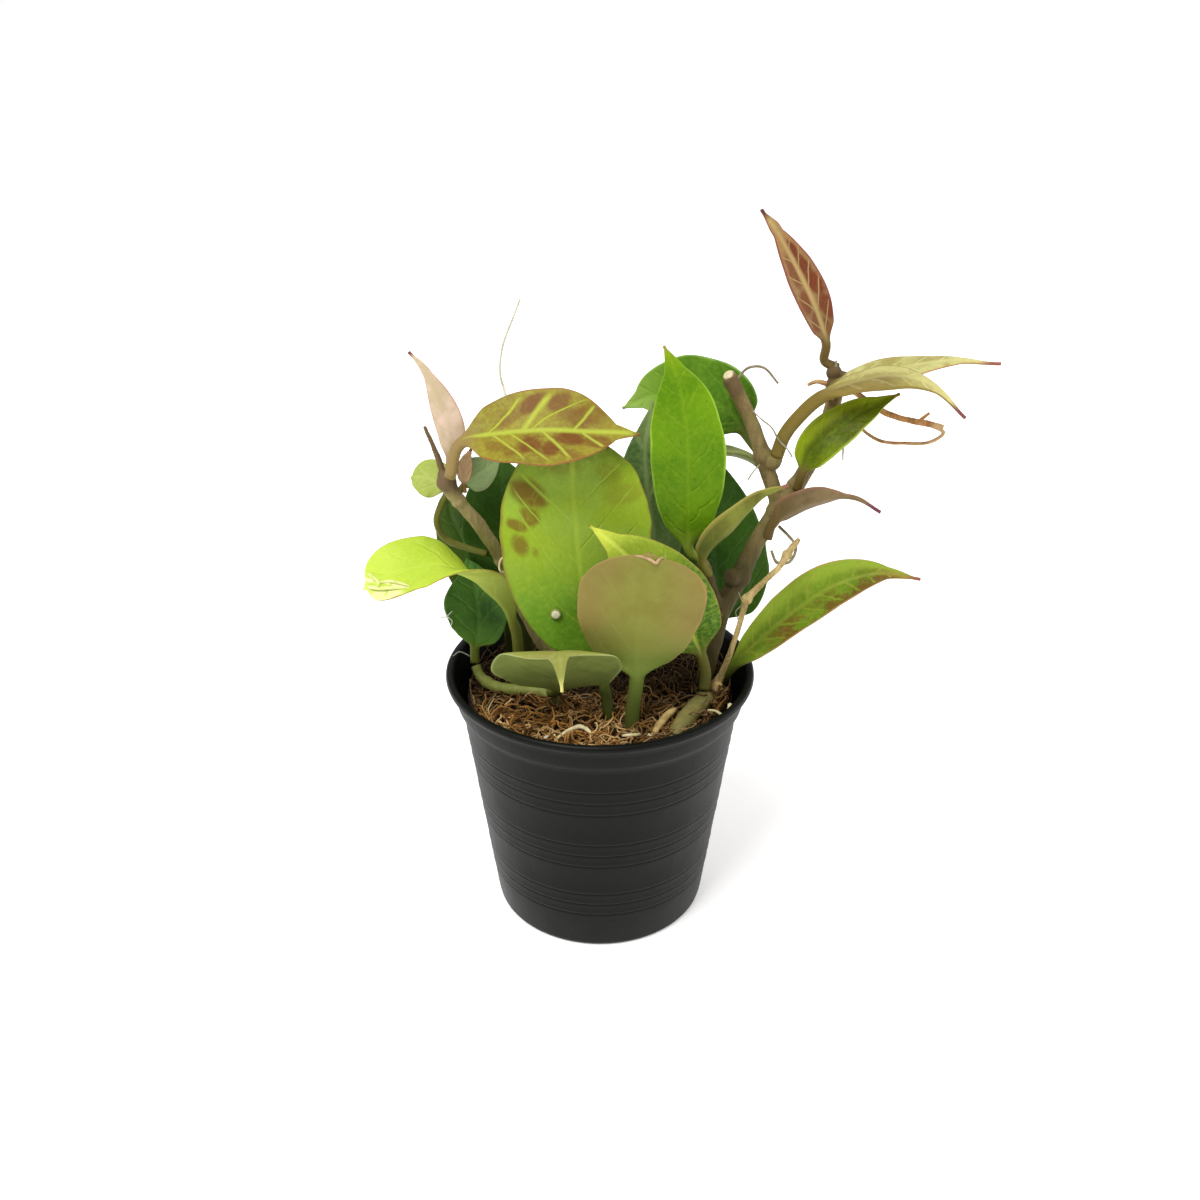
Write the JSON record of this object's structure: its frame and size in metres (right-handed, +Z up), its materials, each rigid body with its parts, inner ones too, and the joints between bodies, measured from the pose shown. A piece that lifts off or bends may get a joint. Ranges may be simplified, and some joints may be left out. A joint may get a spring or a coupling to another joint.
{
  "type": "sunrise hoya in a nursery pot",
  "caption": "Small climbing hoya with thick pointed leaves on short woody stems and thin aerial roots, growing from a fibrous mix in a round tapered nursery pot.",
  "frame": {"origin": "centre of the pot's flat underside, on the surface that it stands on", "axes": "+Z up along the pot, +X to the right of the pictured side, +Y to its back; -Z is the way that the base faces"},
  "size_m": [0.166, 0.085, 0.1948],
  "materials": {
    "pot_black_plastic": "satin black plastic",
    "potting_mix": "loose coir, peat and bark",
    "bark_brown": "matt green-brown bark",
    "bark_olive": "matt olive bark",
    "dry_tan": "dry dead wood",
    "root_tan": "dry thin root",
    "leaf_lime": "waxy leaf",
    "leaf_green": "waxy leaf",
    "leaf_bright": "waxy leaf",
    "leaf_dark": "waxy leaf",
    "leaf_blue_green": "waxy leaf",
    "leaf_olive_gold": "waxy leaf",
    "leaf_taupe": "matt leaf underside",
    "leaf_mauve": "matt leaf underside",
    "leaf_pink_tan": "matt leaf underside",
    "leaf_reddish": "waxy young leaf",
    "leaf_pale_yellow": "waxy leaf",
    "leaf_sage": "matt leaf"
  },
  "bodies": {
    "root": {"nursery_pot": "pot_black_plastic", "potting_mix": "potting_mix", "right_stem": "bark_brown", "left_stem": "bark_brown", "lying_stem_right": "bark_olive", "lying_stem_left": "bark_olive", "dry_twig": "dry_tan", "aerial_root_right": "root_tan", "aerial_root_stub": "root_tan", "aerial_root_branch": "root_tan", "aerial_root_twig": "root_tan", "aerial_root_left": "root_tan", "leaf_top_right": "leaf_reddish", "leaf_arching_front": "leaf_pale_yellow", "leaf_arching_back": "leaf_pale_yellow", "leaf_hanging_right": "leaf_green", "leaf_small_mauve": "leaf_mauve", "leaf_bright_upright": "leaf_bright", "leaf_narrow_folded": "leaf_pale_yellow", "leaf_lower_right": "leaf_green", "leaf_round_back": "leaf_green", "leaf_pale_back": "leaf_pale_yellow", "leaf_dark_back": "leaf_dark", "leaf_blue_green": "leaf_blue_green", "leaf_flat_top_left": "leaf_olive_gold", "leaf_pink_upright": "leaf_pink_tan", "leaf_small_lime": "leaf_lime", "leaf_small_grey": "leaf_sage", "leaf_dry_scale": "dry_tan", "leaf_dark_left_a": "leaf_dark", "leaf_dark_left_b": "leaf_dark", "leaf_large_centre": "leaf_green", "leaf_round_front": "leaf_taupe", "leaf_low_front": "leaf_sage", "leaf_behind_round": "leaf_green", "leaf_curling_lime": "leaf_lime", "leaf_dark_lower_left": "leaf_dark"}
  },
  "joints": []
}
